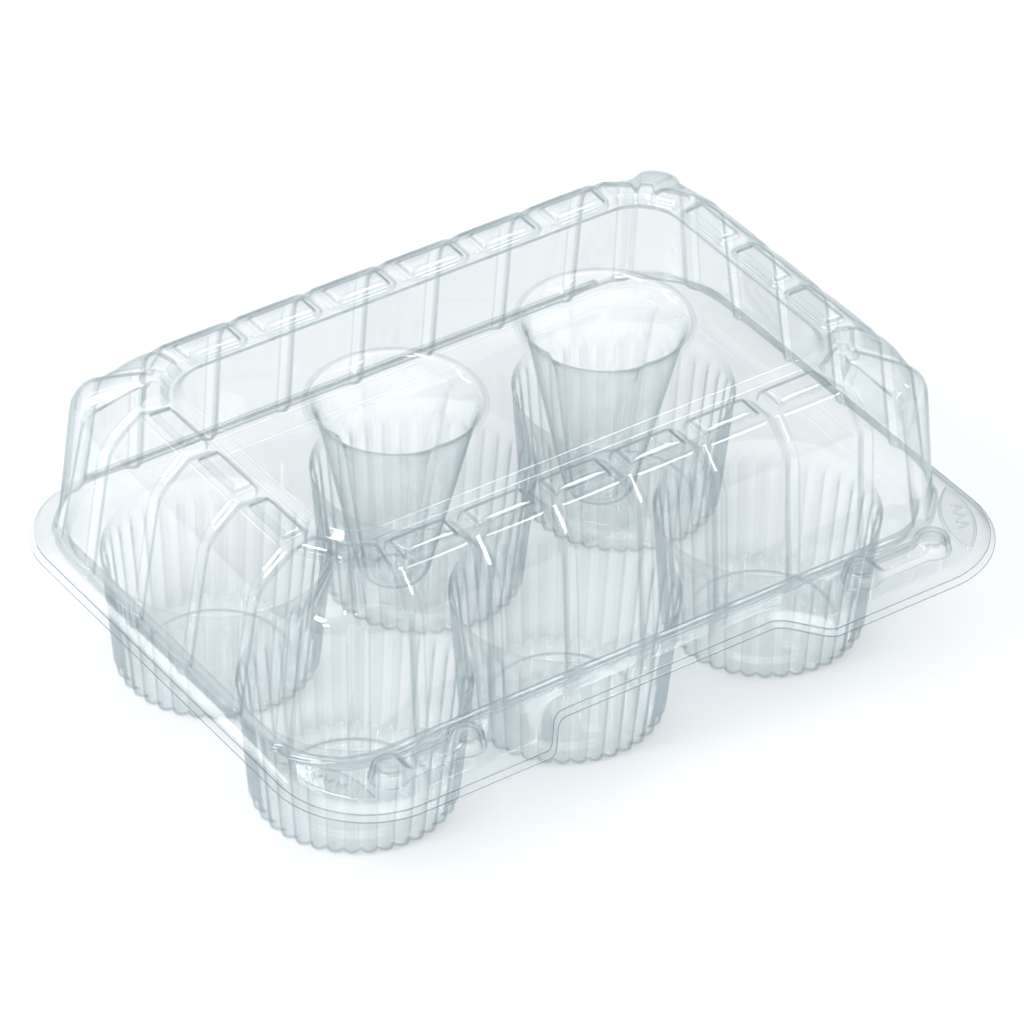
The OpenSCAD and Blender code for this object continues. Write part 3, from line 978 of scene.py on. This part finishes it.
def make_floor():
    """A plain matt floor. It is staging, not part of the carton."""
    mesh = bpy.data.meshes.new("floor")
    s = FLOOR_HALF_M
    mesh.from_pydata([(-s, -s, 0), (s, -s, 0), (s, s, 0), (-s, s, 0)], [], [(0, 1, 2, 3)])
    floor = bpy.data.objects.new("floor", mesh)
    bpy.context.scene.collection.objects.link(floor)
    mat = bpy.data.materials.new("floor")
    mat.use_nodes = True
    shader = mat.node_tree.nodes["Principled BSDF"]
    shader.inputs["Base Color"].default_value = (FLOOR_GREY, FLOOR_GREY, FLOOR_GREY, 1)
    shader.inputs["Roughness"].default_value = 0.9
    mesh.materials.append(mat)


LAMP_DISTANCE_M = 1.6
LAMP_AIM_Z_M = 0.05


def softbox(name, azimuth, elevation, size, power):
    """An area light that faces the carton. Azimuth 0 is straight in front, 90 the right side."""
    light = bpy.data.lights.new(name, "AREA")
    light.shape = "RECTANGLE"
    light.size, light.size_y = size
    light.energy = power
    lamp = bpy.data.objects.new(name, light)
    a, e = math.radians(azimuth), math.radians(elevation)
    way = Vector((math.sin(a) * math.cos(e), -math.cos(a) * math.cos(e), math.sin(e)))
    lamp.location = way * LAMP_DISTANCE_M + Vector((0, 0, LAMP_AIM_Z_M))
    lamp.rotation_euler = way.to_track_quat("Z", "Y").to_euler()
    bpy.context.scene.collection.objects.link(lamp)


# Studio brightness by the sine of the elevation a ray looks up at: dim near the horizon,
# so clear edges read dark against the floor, and bright overhead.
STUDIO_BANDS = [
    (0.0, 0.35), (0.10, 0.42), (0.25, 0.60), (0.60, 0.60), (0.88, 0.80), (0.95, 1.8),
]
STUDIO_COLOUR = (0.965, 0.985, 1.0)


def make_world():
    world = bpy.data.worlds.new("studio")
    bpy.context.scene.world = world
    world.use_nodes = True
    nt = world.node_tree
    background = nt.nodes["Background"]
    way = nt.nodes.new("ShaderNodeTexCoord")
    split = nt.nodes.new("ShaderNodeSeparateXYZ")
    ramp = nt.nodes.new("ShaderNodeValToRGB")
    nt.links.new(way.outputs["Generated"], split.inputs["Vector"])
    nt.links.new(split.outputs["Z"], ramp.inputs["Fac"])
    nt.links.new(ramp.outputs["Color"], background.inputs["Color"])
    stops = ramp.color_ramp.elements
    while len(stops) < len(STUDIO_BANDS):
        stops.new(0.5)
    for stop, (at, bright) in zip(stops, STUDIO_BANDS):
        stop.position = at
        stop.color = (*[bright * c for c in STUDIO_COLOUR], 1)
    background.inputs["Strength"].default_value = 1.0


# The camera that was fitted to the photo, in degrees and millimetres. It looks at a point on the
# floor that is given from the middle of the cups' centre line.
CAMERA_AZIMUTH = -35.64
CAMERA_ELEVATION = 36.95
CAMERA_ROLL = 1.43
CAMERA_DISTANCE = 1951.3
CAMERA_LENS = 225.3
CAMERA_SENSOR = 36
CAMERA_FAR_M = 100
AIM_FROM_CUP_LINE = (40.5, 47.4)


def make_camera():
    a, e, r = (math.radians(v) for v in (CAMERA_AZIMUTH, CAMERA_ELEVATION, CAMERA_ROLL))
    back = Vector((math.sin(a) * math.cos(e), -math.cos(a) * math.cos(e), math.sin(e)))
    level = Vector((0, 0, 1)).cross(back).normalized()
    upward = back.cross(level)
    right = math.cos(r) * level + math.sin(r) * upward
    up = -math.sin(r) * level + math.cos(r) * upward
    aim = Vector((AIM_FROM_CUP_LINE[0], AIM_FROM_CUP_LINE[1] + CUP_LINE_Y, 0)) * MM
    data = bpy.data.cameras.new("camera")
    data.lens = CAMERA_LENS
    data.sensor_width = CAMERA_SENSOR
    data.clip_end = CAMERA_FAR_M
    camera = bpy.data.objects.new("camera", data)
    turn = Matrix((right, up, back)).transposed().to_4x4()
    camera.matrix_world = Matrix.Translation(aim + back * CAMERA_DISTANCE * MM) @ turn
    bpy.context.scene.collection.objects.link(camera)
    bpy.context.scene.camera = camera


# ---------- the scene ----------

# The sheets darken towards a painted-shade edge colour at glancing angles and at bends. The tray's flutes stand
# close together, so its bends get less painted shade than the lid's.
lid_material = clear_sheet(
    "clear_lid", tint=(0.990, 0.995, 0.996), edge=(0.68, 0.74, 0.76), painted_bend_shade=0.34)
tray_material = clear_sheet(
    "clear_tray", tint=(0.988, 0.993, 0.994), edge=(0.64, 0.70, 0.73), painted_bend_shade=0.13)
# Painted shade: the cut edge strips are given a darker see-through colour to draw the dark line at the sheet's cut
# edge.
cut_edge_painted_shade_material = clear_sheet(
    "cut_edge", tint=(0.72, 0.77, 0.79), edge=(0.50, 0.56, 0.58), painted_bend_shade=0.0)

bodies = frame["record"]["behaviour"]["bodies"]
lid = make_lid()
tray = make_tray()
fold = make_hinge()
lid_edge = make_cut_edge("lid_cut_edge", lid_profile()[0][0])
tray_edge = make_cut_edge("tray_cut_edge", tray_profile()[0][0])
for piece, material, slot in (
    (lid, lid_material, "lid_sheet"),
    (tray, tray_material, "tray_sheet"),
    (fold, lid_material, "hinge"),
    (lid_edge, cut_edge_painted_shade_material, "lid_sheet"),
    (tray_edge, cut_edge_painted_shade_material, "tray_sheet"),
):
    piece.data.materials.append(material)
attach(lid, "lid")
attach(tray, "tray")
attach(lid_edge, "lid")
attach(tray_edge, "tray")
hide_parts(*bodies["lid"])
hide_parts(*[n for n in bodies["tray"] if n != "hinge_strip"])
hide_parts("hinge_strip")
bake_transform(fold)

make_floor()
make_world()
softbox("left_key", azimuth=-80, elevation=48, size=(0.7, 0.40), power=10)
softbox("pad_front", azimuth=46, elevation=50, size=(0.30, 0.30), power=2.0)
softbox("pad_side", azimuth=-156, elevation=45, size=(0.22, 0.22), power=0.4)
softbox("corner", azimuth=-54, elevation=32, size=(0.35, 0.22), power=2.4)
make_camera()

# A ray crosses many layers of clear sheet; with fewer steps the cups would turn black.
bpy.context.scene.cycles.transparent_max_bounces = 64
bpy.context.scene.view_settings.view_transform = "Standard"
